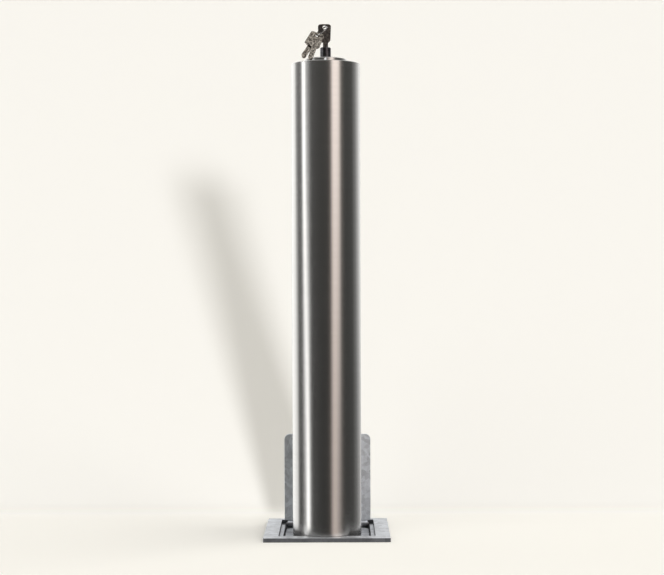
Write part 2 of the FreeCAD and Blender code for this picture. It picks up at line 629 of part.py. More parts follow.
def make_key(name, placement):
    """A flat key. Its local origin is the middle of the bow's hole, its blade points down."""
    body = new_body(name)
    outline = new_sketch(body, name + "_outline", "XZ_Plane")
    blade_left = "(dims.blade_shift - dims.blade_half_width)"
    blade_right = "(dims.blade_shift + dims.blade_half_width)"
    tip = "(-dims.key_below - dims.blade_length)"
    corners = [
        ("-dims.key_left", "dims.key_above"),
        ("dims.key_right", "dims.key_above"),
        ("dims.key_right - dims.key_taper", "-dims.key_below + dims.key_slope"),
        (blade_right, "-dims.key_below"),
    ]
    for number, depth in enumerate(("dims.cut_deep", "dims.cut_shallow") * 2):
        top = "%s + (%g + 1) * dims.cut_pitch + dims.blade_half_width / 2" % (tip, 3 - number)
        corners.append((blade_right, top))
        corners.append(("%s - %s" % (blade_right, depth), "%s - dims.cut_pitch / 2" % top))
    corners += [
        (blade_right, "%s + dims.blade_half_width / 2" % tip),
        ("dims.blade_shift + dims.blade_half_width / 3", tip),
        ("dims.blade_shift - dims.blade_half_width / 3", tip),
        (blade_left, "%s + dims.blade_half_width" % tip),
        (blade_left, "-dims.key_below"),
        ("-dims.key_left + dims.key_taper", "-dims.key_below + dims.key_slope"),
    ]
    add_outline(outline, corners)
    blank = pad(body, name + "_blank", outline, "dims.key_thick", symmetric=True)
    doc.recompute()
    top_corners = straight_edges(blank.Shape, AXIS_Y, lambda middle: middle.z > 0)
    dress(body, "Fillet", name + "_bow_corners", blank, top_corners, "dims.key_corner")
    holes = new_sketch(body, name + "_holes", "XZ_Plane")
    add_circle(holes, "0", "0", "dims.key_hole_radius")
    cut_through(body, name + "_hole_cut", holes)
    for side, letter in ((1, "front"), (-1, "back")):
        groove = new_sketch(body, "%s_groove_%s" % (name, letter), "XZ_Plane",
                            "%d * dims.key_thick / 2" % side)
        left = "dims.blade_shift - dims.blade_groove_width"
        groove_end = "%s - dims.blade_gap" % tip
        add_outline(groove, rectangle(left, groove_end, "dims.blade_shift", "-dims.key_below"))
        cut_across(body, "%s_groove_cut_%s" % (name, letter), groove, "2 * dims.blade_groove_depth")
    body.Placement = placement
    return keep(body, name)


# Ground socket

def sheet_outline(front, back, half_width):
    return rectangle("-%s" % half_width, "-%s" % front, half_width, back)


def make_frame_plate():
    body = new_body("frame_plate")
    outline = new_sketch(body, "frame_outline", "XY_Plane")
    add_outline(outline, sheet_outline(FRAME_FRONT, FRAME_BACK, FRAME_HALF_WIDTH))
    plate = pad(body, "frame_pad", outline, "dims.frame_thick")
    doc.recompute()
    corners = straight_edges(plate.Shape, AXIS_Z, lambda middle: True)
    dress(body, "Fillet", "frame_corners", plate, corners, "dims.frame_corner")
    mouth = new_sketch(body, "mouth_outline", "XY_Plane")
    add_outline(mouth, sheet_outline(MOUTH_FRONT, MOUTH_BACK, MOUTH_HALF_WIDTH))
    cut_through(body, "mouth_cut", mouth)
    notch = new_sketch(body, "notch_outline", "XY_Plane")
    add_circle(notch, "0", "0", "dims.tube_radius + dims.notch_gap")
    cut_through(body, "notch_cut", notch)
    return keep(body, "frame_plate")


def make_casing():
    """The sheet casing below the plate, folded round four corners."""
    body = new_body("socket_casing")
    outside = new_sketch(body, "casing_outline", "XY_Plane", CASING_END)
    edges = ["(%s + dims.casing_wall)" % inner for inner in (CASING_FRONT, MOUTH_BACK, MOUTH_HALF_WIDTH)]
    add_outline(outside, sheet_outline(*edges))
    block = pad(body, "casing_pad", outside, "-%s" % CASING_END)
    doc.recompute()
    outer_bends = straight_edges(block.Shape, AXIS_Z, lambda middle: True)
    rounded = dress(body, "Fillet", "casing_outer_bends", block, outer_bends,
                    "dims.casing_bend + dims.casing_wall")
    inside = new_sketch(body, "casing_inside", "XY_Plane")
    add_outline(inside, sheet_outline(CASING_FRONT, MOUTH_BACK, MOUTH_HALF_WIDTH))
    hollow = cut_through(body, "casing_hollow", inside)
    doc.recompute()
    side_wall = size["tube_radius"] + size["mouth_side"]
    inner_bends = straight_edges(hollow.Shape, AXIS_Z, lambda middle: abs(abs(middle.x) - side_wall) < 0.01)
    dress(body, "Fillet", "casing_inner_bends", hollow, inner_bends, "dims.casing_bend")
    return keep(body, "socket_casing")


def inner_plate(name, low, thick, hole):
    """A plate that fills the casing from wall to wall, with a round hole on the post's axis."""
    body = new_body(name)
    outline = new_sketch(body, name + "_outline", "XY_Plane", low)
    add_outline(outline, sheet_outline(CASING_FRONT, MOUTH_BACK, MOUTH_HALF_WIDTH))
    plate = pad(body, name + "_pad", outline, thick)
    doc.recompute()
    corners = straight_edges(plate.Shape, AXIS_Z, lambda middle: True)
    dress(body, "Chamfer", name + "_corners", plate, corners, "dims.casing_bend + dims.disc_gap")
    opening = new_sketch(body, name + "_hole", "XY_Plane", low)
    add_circle(opening, "0", "0", hole)
    cut_through(body, name + "_hole_cut", opening)
    return keep(body, name)


def make_upper_guide():
    body = new_body("upper_guide_plate")
    outline = new_sketch(body, "upper_guide_outline", "XY_Plane", GUIDE_END)
    add_outline(outline, sheet_outline(CASING_FRONT, GUIDE_BACK, GUIDE_HALF_WIDTH))
    plate = pad(body, "upper_guide_pad", outline, "dims.guide_thick")
    doc.recompute()
    rear_corners = straight_edges(plate.Shape, AXIS_Z, lambda middle: middle.y > 0)
    dress(body, "Fillet", "upper_guide_corners", plate, rear_corners, "dims.guide_corner")
    opening = new_sketch(body, "upper_guide_hole", "XY_Plane", GUIDE_END)
    add_circle(opening, "0", "0", GUIDE_HOLE)
    cut_through(body, "upper_guide_hole_cut", opening)
    return keep(body, "upper_guide_plate")


def make_cross_bar():
    half = "dims.cross_bar_width / 2"
    bar = box("cross_bar", ("-%s" % MOUTH_HALF_WIDTH, "%s - %s" % (CROSS_BAR_PLACE, half),
                            "%s - dims.cross_bar_height" % GUIDE_END),
              (MOUTH_HALF_WIDTH, "%s + %s" % (CROSS_BAR_PLACE, half), GUIDE_END))
    return keep(bar, "guide_cross_bar")


def make_rail(name, side):
    """A rail on the casing's side wall; the closed lid rests on it."""
    top = "dims.frame_thick - dims.lid_thick"
    wall = "%d * %s" % (side, MOUTH_HALF_WIDTH)
    edge = "%d * (%s - dims.rail_width)" % (side, MOUTH_HALF_WIDTH)
    low_x, high_x = (edge, wall) if side > 0 else (wall, edge)
    rail = box(name + "_bar", (low_x, "-%s" % RAIL_FRONT, "%s - dims.rail_height" % top),
               (high_x, RAIL_BACK, top))
    return keep(rail, name)


def make_anchor(name, side, along):
    """A flat bar bent out of the casing's side into the ground, its end split like a fish's tail."""
    body = new_body(name)
    middle = "(%d * dims.anchor_place + %s / 2 - %s / 2)" % (along, MOUTH_BACK, CASING_FRONT)
    profile = new_sketch(body, name + "_profile", "XZ_Plane", "-%s" % middle)
    wall = "(%s + dims.casing_wall)" % MOUTH_HALF_WIDTH
    foot = "(%s + dims.anchor_rise)" % BASE_TOP
    top = "%s + dims.anchor_leg" % foot
    edges = [
        (wall, top),
        (wall, foot),
        ("(%s + dims.anchor_reach)" % wall, foot),
        ("(%s + dims.anchor_reach)" % wall, "(%s + dims.anchor_thick)" % foot),
        ("(%s + dims.anchor_thick)" % wall, "(%s + dims.anchor_thick)" % foot),
        ("(%s + dims.anchor_thick)" % wall, top),
    ]
    add_outline(profile, [("%d * %s" % (side, x), z) for x, z in edges])
    pad(body, name + "_pad", profile, "dims.anchor_width", symmetric=True)
    split = new_sketch(body, name + "_split", "XY_Plane", foot)
    end = "%d * (%s + dims.anchor_reach)" % (side, wall)
    add_outline(split, [
        ("%s - %d * dims.anchor_split" % (end, side), middle),
        (end, "%s - dims.anchor_width / 3" % middle),
        (end, "%s + dims.anchor_width / 3" % middle),
    ])
    cut_across(body, name + "_split_cut", split, "4 * dims.anchor_thick")
    return keep(body, name)


# Hinge and lid

KNUCKLES = 3
KNUCKLE_PITCH = "(2 * %s / %d)" % (KNUCKLE_SPAN, KNUCKLES)
KNUCKLE_WIDTH = "(%s - dims.knuckle_gap)" % KNUCKLE_PITCH


def knuckle(name, number, leg_low, leg_high):
    """One knuckle of the hinge with the leg that joins it to its plate or wall."""
    start = "-%s + %d * %s + dims.knuckle_gap / 2" % (KNUCKLE_SPAN, number, KNUCKLE_PITCH)
    barrel = cylinder(name + "_barrel", "dims.knuckle_radius", (start, HINGE_Y, HINGE_Z), KNUCKLE_WIDTH,
                      AXIS_X)
    leg = box(name + "_leg", (start,) + leg_low, ("%s + %s" % (start, KNUCKLE_WIDTH),) + leg_high)
    bore = cylinder(name + "_bore", "dims.hinge_pin_radius + dims.hinge_pin_gap",
                    ("-%s" % MOUTH_HALF_WIDTH, HINGE_Y, HINGE_Z), "2 * %s" % MOUTH_HALF_WIDTH, AXIS_X)
    return keep(subtract(name + "_drilled", unite(name + "_joined", [barrel, leg]), bore), name)


def make_knuckles():
    """Knuckles by turns: the outer ones on the casing, the one between them on the lid."""
    for number in range(KNUCKLES):
        if number % 2 == 0:
            knuckle("frame_knuckle_%d" % (number // 2 + 1), number,
                    (HINGE_Y, "%s - dims.knuckle_radius" % HINGE_Z),
                    (MOUTH_BACK, "%s - dims.hinge_pin_radius" % HINGE_Z))
        else:
            knuckle("lid_knuckle", number, (LID_FACE, HINGE_Z), (LID_BACK, LID_EDGE))


def make_hinge_pin():
    reach = "(%s + dims.hinge_pin_over)" % KNUCKLE_SPAN
    pin = cylinder("hinge_pin_rod", "dims.hinge_pin_radius", ("-%s" % reach, HINGE_Y, HINGE_Z),
                   "2 * %s" % reach, AXIS_X)
    return keep(pin, "hinge_pin")


def make_lid():
    body = new_body("lid_plate")
    outline = new_sketch(body, "lid_outline", "XZ_Plane", "-%s" % LID_BACK)
    add_outline(outline, rectangle("-%s" % LID_HALF_WIDTH, LID_EDGE, LID_HALF_WIDTH, LID_TOP))
    plate = pad(body, "lid_pad", outline, "dims.lid_thick")
    doc.recompute()
    far_corners = straight_edges(plate.Shape, AXIS_Y, lambda middle: middle.z > size["tube_radius"])
    dress(body, "Fillet", "lid_corners", plate, far_corners, "dims.lid_corner")
    return keep(body, "lid_plate")


# Key ring and the spare keys that hang from it

def key_hole_middle():
    level = (size["post_height"] + size["boss_height"] + size["barrel_rise"] + size["key_stand"]
             + size["key_below"])
    return Vector(-size["blade_shift"], 0, level)


def unit(vector):
    return vector * (1 / vector.Length)


def ring_frame():
    """The ring's place: through the key's hole and round the left side of its bow.

    Returns the wire's place in the hole, the line from there to the bow's side,
    the ring's middle, its lowest point and the wire's direction there.
    """
    inside = key_hole_middle() + Vector(size["ring_in_right"], 0, size["ring_in_above"])
    beside = Vector(-size["blade_shift"] - size["key_left"] - size["ring_side"] - size["ring_wire"], 0,
                    inside.z - size["ring_fall"])
    along = unit(beside - inside)
    low = along.cross(AXIS_Y) if along.cross(AXIS_Y).z < 0 else AXIS_Y.cross(along)
    tilt = math.radians(size["ring_tilt"])
    out = low * math.sin(tilt) - AXIS_Y * math.cos(tilt)
    half_chord = (beside - inside).Length / 2
    middle = (inside + beside) * 0.5 + out * math.sqrt(size["ring_radius"] ** 2 - half_chord ** 2)
    fall = unit(along * -along.z + out * -out.z)
    wire = unit(along.cross(out).cross(fall))
    if wire.y > 0:
        wire = wire * -1
    return inside, along, middle, fall, wire


def make_ring(ring):
    inside, along, middle, fall, wire = ring
    centres = []
    for number in range(RUNS_IN_KEY_RING):
        angle = 2 * math.pi * number / RUNS_IN_KEY_RING
        outward = fall * math.cos(angle) + wire * math.sin(angle)
        centres.append((middle + outward * size["ring_radius"], outward, fall.cross(wire)))
    torus = doc.addObject("Part::Feature", "key_ring_wire")
    torus.Shape = wire_solid(centres, size["ring_wire"], True)
    return keep(torus, "key_ring")


def spare_key_pose(side, ring, lean):
    """Pivot, axes and hole of a spare key; side is -1 for the one behind and 1 for the one in front."""
    inside, along, middle, fall, wire = ring
    turn_left = math.radians(size["hang_turn"])
    out = math.sin(lean)
    down = Vector(-out * math.sin(turn_left), -out * math.cos(turn_left), -math.cos(lean))
    front = unit(down * down.dot(AXIS_Y) - AXIS_Y)
    around = side * size["key_spacing"] / 2 / front.dot(wire) / size["ring_radius"]
    pivot = middle + (fall * math.cos(around) + wire * math.sin(around)) * size["ring_radius"]
    fan = math.radians(side * size["key_fan"])
    key_down = down * math.cos(fan) + front.cross(down) * math.sin(fan)
    hole = pivot + key_down * size["ring_hang"]
    return pivot, front, key_down, hole


def tip_level(lean, ring):
    """Height of the lowest point of the front spare key's blade."""
    pivot, front, key_down, hole = spare_key_pose(1, ring, lean)
    right = front.cross(key_down)
    tip = hole + key_down * (size["key_below"] + size["blade_length"])
    tip = tip + right * (size["blade_shift"] + size["blade_half_width"] / 3)
    return tip.z - size["key_thick"] / 2 * abs(front.z)


def hanging_lean(ring):
    """The lean of the hanging keys that leaves the gap between the lower tip and the cap."""
    low, high = 0.0, math.radians(80)
    goal = size["post_height"] + size["tip_gap"]
    for step in range(50):
        lean = (low + high) / 2
        if tip_level(lean, ring) < goal:
            low = lean
        else:
            high = lean
    return lean


def spare_key_placement(pose):
    pivot, front, key_down, hole = pose
    local_z = key_down * -1
    local_y = front * -1
    local_x = local_y.cross(local_z)
    turned = FreeCAD.Matrix(local_x.x, local_y.x, local_z.x, 0, local_x.y, local_y.y, local_z.y, 0,
                            local_x.z, local_y.z, local_z.z, 0, 0, 0, 0, 1)
    return FreeCAD.Placement(hole, FreeCAD.Rotation(turned))


def make_keys():
    make_key("lock_key", FreeCAD.Placement(key_hole_middle(), FreeCAD.Rotation()))
    ring = ring_frame()
    make_ring(ring)
    lean = hanging_lean(ring)
    print("ring pivot", ring[0], "axis", ring[1], "lean", math.degrees(lean))
    for name, side in (("spare_key_left", -1), ("spare_key_right", 1)):
        pose = spare_key_pose(side, ring, lean)
        make_key(name, spare_key_placement(pose))
        print(name, "pivot", pose[0], "axis", pose[1])


def build():
    make_tube()
    make_cap()
    make_boss()
    make_sleeve()
    make_dowel()
    hexagon_piece("sleeve_nut", "%s - dims.sleeve_nut_thick" % CAP_UNDERSIDE, "dims.sleeve_nut_thick",
                  "dims.sleeve_nut_flats", "dims.sleeve_radius + dims.sleeve_gap")
    plate_flats = "sqrt(3) * %s" % DISC_RADIUS
    seat_level = "%s - dims.disc_thick" % SPRING_END
    hexagon_piece("spring_seat", seat_level, "dims.disc_thick", plate_flats, ROD_BORE)
    hexagon_piece("rod_guide", "dims.guide_height", "dims.disc_thick", plate_flats, ROD_BORE)
    hexagon_piece("foot_plate", FOOT_LEVEL, "dims.foot_thick", plate_flats, "dims.foot_bore")
    make_bolt_housing()
    make_spring()
    make_barrel()
    make_rod()
    make_collar()
    make_cam()
    make_bolt()
    make_plug()
    make_frame_plate()
    make_casing()
    inner_plate("lower_guide_plate", KEEPER_END, "dims.guide_thick", GUIDE_HOLE)
    inner_plate("base_plate", CASING_END, "dims.base_thick", "dims.drain_radius")
    make_upper_guide()
    make_cross_bar()
    make_rail("lid_rail_left", -1)
    make_rail("lid_rail_right", 1)
    for number, (side, along) in enumerate(((-1, -1), (1, -1), (-1, 1), (1, 1)), start=1):
        make_anchor("ground_anchor_%d" % number, side, along)
    make_knuckles()
    make_hinge_pin()
    make_lid()
    make_keys()


def check_document():
    """Stop if any object failed or any piece has no sound shape."""
    doc.recompute()
    for thing in doc.Objects:
        if "Invalid" in thing.State or "Error" in thing.State:
            raise RuntimeError("%s failed: %s" % (thing.Name, thing.State))
    for thing in nodes:
        if thing.Shape.isNull() or not thing.Shape.isValid() or not thing.Shape.Solids:
            raise RuntimeError("%s has no sound shape" % thing.Label)


build()
check_document()
for thing in nodes:
    thing.Shape.exportStep(os.path.join("parts", thing.Label + ".step"))
print(len(nodes), "pieces written")
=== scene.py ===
import json
import math

import bpy
from mathutils import Matrix, Vector


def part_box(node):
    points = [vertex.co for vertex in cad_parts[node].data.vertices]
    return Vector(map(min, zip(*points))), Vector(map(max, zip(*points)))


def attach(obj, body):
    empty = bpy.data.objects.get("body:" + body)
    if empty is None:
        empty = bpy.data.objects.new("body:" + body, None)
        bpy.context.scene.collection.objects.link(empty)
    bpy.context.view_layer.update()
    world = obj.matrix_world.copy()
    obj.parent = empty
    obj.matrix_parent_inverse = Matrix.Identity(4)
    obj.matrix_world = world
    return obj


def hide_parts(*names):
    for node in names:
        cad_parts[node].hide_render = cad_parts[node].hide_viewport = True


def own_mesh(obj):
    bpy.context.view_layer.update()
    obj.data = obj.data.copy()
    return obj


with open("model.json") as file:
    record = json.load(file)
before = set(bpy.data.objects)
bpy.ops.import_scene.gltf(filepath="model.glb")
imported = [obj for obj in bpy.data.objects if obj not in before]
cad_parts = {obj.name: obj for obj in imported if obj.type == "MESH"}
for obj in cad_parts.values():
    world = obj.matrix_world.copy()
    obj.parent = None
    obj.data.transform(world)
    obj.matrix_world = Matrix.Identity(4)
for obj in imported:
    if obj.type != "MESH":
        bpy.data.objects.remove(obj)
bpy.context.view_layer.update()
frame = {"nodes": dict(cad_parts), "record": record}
nodes = frame["nodes"]


# Shader helpers

def new_tree(name):
    """A material with its node tree and its principled shader."""
    material = bpy.data.materials.new(name)
    material.use_nodes = True
    tree = material.node_tree
    shader = tree.nodes["Principled BSDF"]
    return material, tree, shader


def add(tree, kind, **values):
    """Add a node; values name its properties."""
    node = tree.nodes.new("ShaderNode" + kind)
    for name, value in values.items():
        setattr(node, name, value)
    return node


def put(tree, value, socket):
    """Link a socket to another node's output, or set it to a number or a colour."""
    if isinstance(value, bpy.types.NodeSocket):
        tree.links.new(value, socket)
    else:
        socket.default_value = value


def calculate(tree, operation, *values):
    """A math node on numbers or outputs of other nodes."""
    node = add(tree, "Math", operation=operation)
    for place, value in enumerate(values):
        put(tree, value, node.inputs[place])
    return node.outputs[0]


def axes(tree, vector):
    """The X, Y and Z outputs of a vector."""
    node = add(tree, "SeparateXYZ")
    put(tree, vector, node.inputs[0])
    return node.outputs


def blend(tree, share, first, second):
    """Mix two factors; share is the second one's part."""
    node = add(tree, "Mix", data_type="FLOAT")
    put(tree, share, node.inputs[0])
    put(tree, first, node.inputs[2])
    put(tree, second, node.inputs[3])
    return node.outputs[0]


def blend_colors(tree, share, first, second, blend_type="MIX"):
    """Mix two colours; share is the second one's part."""
    node = add(tree, "Mix", data_type="RGBA", blend_type=blend_type)
    put(tree, share, node.inputs[0])
    put(tree, first, node.inputs[6])
    put(tree, second, node.inputs[7])
    return node.outputs[2]


def mix_shaders(tree, share, first, second):
    """Mix two shaders; share is the second one's part."""
    node = add(tree, "MixShader")
    put(tree, share, node.inputs["Fac"])
    put(tree, first, node.inputs[1])
    put(tree, second, node.inputs[2])
    return node.outputs[0]


def coordinates(tree, scale, rotation=(0, 0, 0)):
    """Object coordinates stretched by a scale for each axis."""
    place = add(tree, "TexCoord")
    mapping = add(tree, "Mapping")
    put(tree, scale, mapping.inputs["Scale"])
    put(tree, rotation, mapping.inputs["Rotation"])
    put(tree, place.outputs["Object"], mapping.inputs["Vector"])
    return mapping.outputs["Vector"]


def noise(tree, vector, scale, detail, roughness):
    texture = add(tree, "TexNoise")
    put(tree, scale, texture.inputs["Scale"])
    put(tree, detail, texture.inputs["Detail"])
    put(tree, roughness, texture.inputs["Roughness"])
    put(tree, vector, texture.inputs["Vector"])
    return texture.outputs["Fac"]


def ramp(tree, factor, stops, interpolation="LINEAR"):
    """A colour ramp; stops are (position, colour)."""
    node = add(tree, "ValToRGB")
    node.color_ramp.interpolation = interpolation
    elements = node.color_ramp.elements
    while len(elements) > 1:
        elements.remove(elements[-1])
    elements[0].position = stops[0][0]
    elements[0].color = (*stops[0][1], 1)
    for position, color in stops[1:]:
        element = elements.new(position)
        element.color = (*color, 1)
    put(tree, factor, node.inputs["Fac"])
    return node.outputs["Color"]


def spread(tree, factor, low, high, start=0.0, end=1.0, interpolation="LINEAR"):
    """Map a factor that runs from start to end onto the range from low to high."""
    node = add(tree, "MapRange", interpolation_type=interpolation)
    put(tree, start, node.inputs["From Min"])
    put(tree, end, node.inputs["From Max"])
    put(tree, low, node.inputs["To Min"])
    put(tree, high, node.inputs["To Max"])
    put(tree, factor, node.inputs["Value"])
    return node.outputs["Result"]


def bump(tree, shader, height, strength, distance, edge):
    """Relief on the surface; edge is the radius to which sharp edges look rounded."""
    node = add(tree, "Bump")
    put(tree, strength, node.inputs["Strength"])
    put(tree, distance, node.inputs["Distance"])
    put(tree, height, node.inputs["Height"])
    if edge > 0:
        rounded = add(tree, "Bevel", samples=6)
        put(tree, edge, rounded.inputs["Radius"])
        put(tree, rounded.outputs["Normal"], node.inputs["Normal"])
    put(tree, node.outputs["Normal"], shader.inputs["Normal"])


def tinted(color, share):
    """A colour times a share, kept at 1 or less."""
    return tuple(min(1.0, share * part) for part in color)


# Materials

SLOW_SHARE = 0.40
RUB_SHARE = 0.45
STEEL_DARK = 0.90
STEEL_LIGHT = 1.06
GRAIN_SHARE = 0.60
CLOUD_SHARE = 0.45
GRIT_SHARE = 0.5
WEAR_SOFTNESS = 0.12
STEEL_EDGE = 0.0004
ZINC_EDGE = 0.0010
PLATED_EDGE = 0.0003


def brushed_steel(name, color, roughness, streaks=(1.5, 1.5, 330.0), anisotropy=0.8, edge=STEEL_EDGE,
                  metallic=1.0):
    """Ground steel: fine grain one way, slow changes of tone and a few faint rubs."""
    material, tree, shader = new_tree(name)
    put(tree, metallic, shader.inputs["Metallic"])
    put(tree, anisotropy, shader.inputs["Anisotropic"])
    put(tree, 0.25, shader.inputs["Anisotropic Rotation"])
    fine = noise(tree, coordinates(tree, streaks), scale=4.0, detail=4.0, roughness=0.6)
    slow = noise(tree, coordinates(tree, (9.0, 9.0, 3.0)), scale=1.0, detail=3.0, roughness=0.5)
    across = coordinates(tree, (35.0, 35.0, 6.0), rotation=(0.3, 0.2, 0.0))
    rubs = noise(tree, across, scale=1.0, detail=5.0, roughness=0.7)
    tone = blend(tree, SLOW_SHARE, fine, slow)
    stops = [(0.30, tinted(color, STEEL_DARK)), (0.70, tinted(color, STEEL_LIGHT))]
    put(tree, ramp(tree, tone, stops), shader.inputs["Base Color"])
    rough = blend(tree, RUB_SHARE, tone, rubs)
    put(tree, spread(tree, rough, roughness * 0.78, roughness * 1.25), shader.inputs["Roughness"])
    bump(tree, shader, fine, strength=0.05, distance=0.0002, edge=edge)
    return material


def galvanised(name, color, roughness, spangle=90.0, contrast=0.16, upright_shade=1.0, metallic=0.6):
    """Hot-dipped zinc: crystals, dull patches and grit. The upright faces' share, under 1, darkens them by
    their facing: painted shade that also stands for duller cut edges.
    """
    material, tree, shader = new_tree(name)
    put(tree, metallic, shader.inputs["Metallic"])
    vector = coordinates(tree, (1, 1, 1))
    crystals = add(tree, "TexVoronoi")
    put(tree, spangle, crystals.inputs["Scale"])
    put(tree, 1.0, crystals.inputs["Randomness"])
    put(tree, vector, crystals.inputs["Vector"])
    facet = add(tree, "SeparateColor")
    put(tree, crystals.outputs["Color"], facet.inputs["Color"])
    cloud = noise(tree, vector, scale=26.0, detail=6.0, roughness=0.7)
    grain = noise(tree, coordinates(tree, (1.0, 1.0, 0.55)), scale=260.0, detail=4.0, roughness=0.65)
    grit = noise(tree, vector, scale=620.0, detail=2.0, roughness=0.5)
    flakes = blend(tree, GRAIN_SHARE, facet.outputs["Red"], grain)
    tone = blend(tree, CLOUD_SHARE, flakes, cloud)
    zinc = ramp(tree, tone, [(0.34, tinted(color, 1 - contrast)), (0.64, tinted(color, 1 + contrast))])
    # Painted shade: faces are darkened by how upright they are, not by any lamp.
    if upright_shade < 1:
        normal = add(tree, "NewGeometry").outputs["True Normal"]
        flat = calculate(tree, "ABSOLUTE", axes(tree, normal)["Z"])
        shade = ramp(tree, flat, [(0.3, (upright_shade,) * 3), (0.7, (1, 1, 1))])
        zinc = blend_colors(tree, 1.0, zinc, shade, "MULTIPLY")
    put(tree, zinc, shader.inputs["Base Color"])
    put(tree, spread(tree, tone, roughness * 0.75, roughness * 1.3), shader.inputs["Roughness"])
    height = calculate(tree, "MULTIPLY_ADD", grit, GRIT_SHARE, cloud)
    bump(tree, shader, height, strength=0.30, distance=0.0005, edge=ZINC_EDGE)
    return material


def plated(name, color, roughness, wear_color, wear=0.5, patch=190.0, relief=0.1):
    """Plated metal with worn, mottled patches."""
    material, tree, shader = new_tree(name)
    put(tree, 1.0, shader.inputs["Metallic"])
    vector = coordinates(tree, (1, 1, 1))
    patches = noise(tree, vector, scale=patch, detail=5.0, roughness=0.65)
    stops = [(wear - WEAR_SOFTNESS, color), (wear + WEAR_SOFTNESS, wear_color)]
    put(tree, ramp(tree, patches, stops), shader.inputs["Base Color"])
    put(tree, spread(tree, patches, roughness * 0.8, roughness * 1.6), shader.inputs["Roughness"])
    grit = noise(tree, vector, scale=900.0, detail=2.0, roughness=0.5)
    bump(tree, shader, grit, strength=relief, distance=0.0001, edge=PLATED_EDGE)
    return material


STAINLESS = (0.62, 0.61, 0.59)

looks = {
    "stainless_tube": brushed_steel("stainless_tube_look", STAINLESS, roughness=0.245, anisotropy=0.62,
                                    edge=0.0),
    "stainless_top": brushed_steel("stainless_top_look", STAINLESS, roughness=0.28,
                                   streaks=(330.0, 1.5, 1.5), anisotropy=0.5),
    # Painted highlight: the dowel's end is near white and barely metallic, so it shows a bright glint
    # under any light.
    "polished_pin": brushed_steel("pin_painted_highlight_look", (0.93, 0.93, 0.92), roughness=0.35, anisotropy=0.0,
                                  metallic=0.25),
    # The frame's upright faces take painted shade, down to a quarter of their tone.
    "galvanised_frame": galvanised("galvanised_frame_look", (0.70, 0.72, 0.75), roughness=0.42,
                                   contrast=0.22, upright_shade=0.24),
    "galvanised_casing": galvanised("galvanised_casing_look", (0.46, 0.48, 0.50), roughness=0.55),
    "galvanised_lid": galvanised("galvanised_lid_look", (0.74, 0.77, 0.80), roughness=0.50, spangle=150.0,
                                 contrast=0.22, metallic=0.80),
    "bare_steel": brushed_steel("bare_steel_look", (0.33, 0.33, 0.34), roughness=0.50,
                                streaks=(60.0, 60.0, 60.0)),
    "bolt_steel": plated("bolt_steel_look", (0.72, 0.72, 0.73), 0.15, (0.60, 0.60, 0.60)),
    "spring_steel": plated("spring_steel_look", (0.30, 0.30, 0.32), 0.35, (0.20, 0.19, 0.18)),
    "lock_metal": plated("lock_metal_look", (0.135, 0.135, 0.145), 0.28, (0.07, 0.065, 0.07)),
    "lock_brass": plated("lock_brass_look", (0.72, 0.55, 0.28), 0.30, (0.62, 0.45, 0.22)),
    "key_dark": plated("key_dark_look", (0.17, 0.155, 0.15), 0.30, (0.42, 0.38, 0.33), wear=0.58,
                       patch=330.0),
    "key_nickel": plated("key_nickel_look", (0.66, 0.60, 0.52), 0.18, (0.085, 0.072, 0.060), wear=0.46,
                         patch=360.0, relief=0.45),
    "ring_steel": plated("ring_steel_look", (0.60, 0.59, 0.58), 0.20, (0.40, 0.38, 0.36), wear=0.60),
}
for part in frame["record"]["subparts"]:
    thing = nodes[part["node"]]
    thing.data.materials.clear()
    thing.data.materials.append(looks[part["material_slot"]])


# Pieces that the solids leave plain

def new_piece(name, points, faces, body, finish):
    """A smooth mesh piece that rides on a body and takes a slot's look."""
    mesh = bpy.data.meshes.new(name)
    mesh.from_pydata([tuple(point) for point in points], [], faces)
    mesh.validate()
    for face in mesh.polygons:
        face.use_smooth = True
    mesh.materials.append(looks[finish])
    piece = bpy.data.objects.new(name, mesh)
    bpy.context.scene.collection.objects.link(piece)
    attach(piece, body)
    return piece


def swept(name, stations, sides, body, finish):
    """A closed skin round a line of stations: each a middle, then twice a direction and a half width."""
    points = []
    for middle, side, side_half, up, up_half in stations:
        for corner in range(sides):
            angle = 2 * math.pi * corner / sides
            points.append(middle + side * (side_half * math.cos(angle)) + up * (up_half * math.sin(angle)))
    faces = []
    for station in range(len(stations) - 1):
        for corner in range(sides):
            ahead = (corner + 1) % sides
            low = station * sides
            faces.append((low + corner, low + ahead, low + sides + ahead, low + sides + corner))
    faces.append(tuple(reversed(range(sides))))
    faces.append(tuple(range(len(points) - sides, len(points))))
    return new_piece(name, points, faces, body, finish)


RING_IN_HOLE = Vector((-0.0013, 0.0, 0.7527))
RING_BESIDE_BOW = Vector((-0.0136, 0.0, 0.7432))
RING_TILT = math.radians(20.0)
RING_RADIUS = 0.0105
RING_WIRE_RADIAL = 0.00042
RING_WIRE_AXIAL = 0.00043
RING_WIRE_SIDES = 10
RING_COIL_OFFSET = 0.00046
RING_STEPS = 220
RING_JOGGLE = math.radians(22.0)
RING_START = math.radians(150.0)
RING_SHORT = math.radians(14.0)


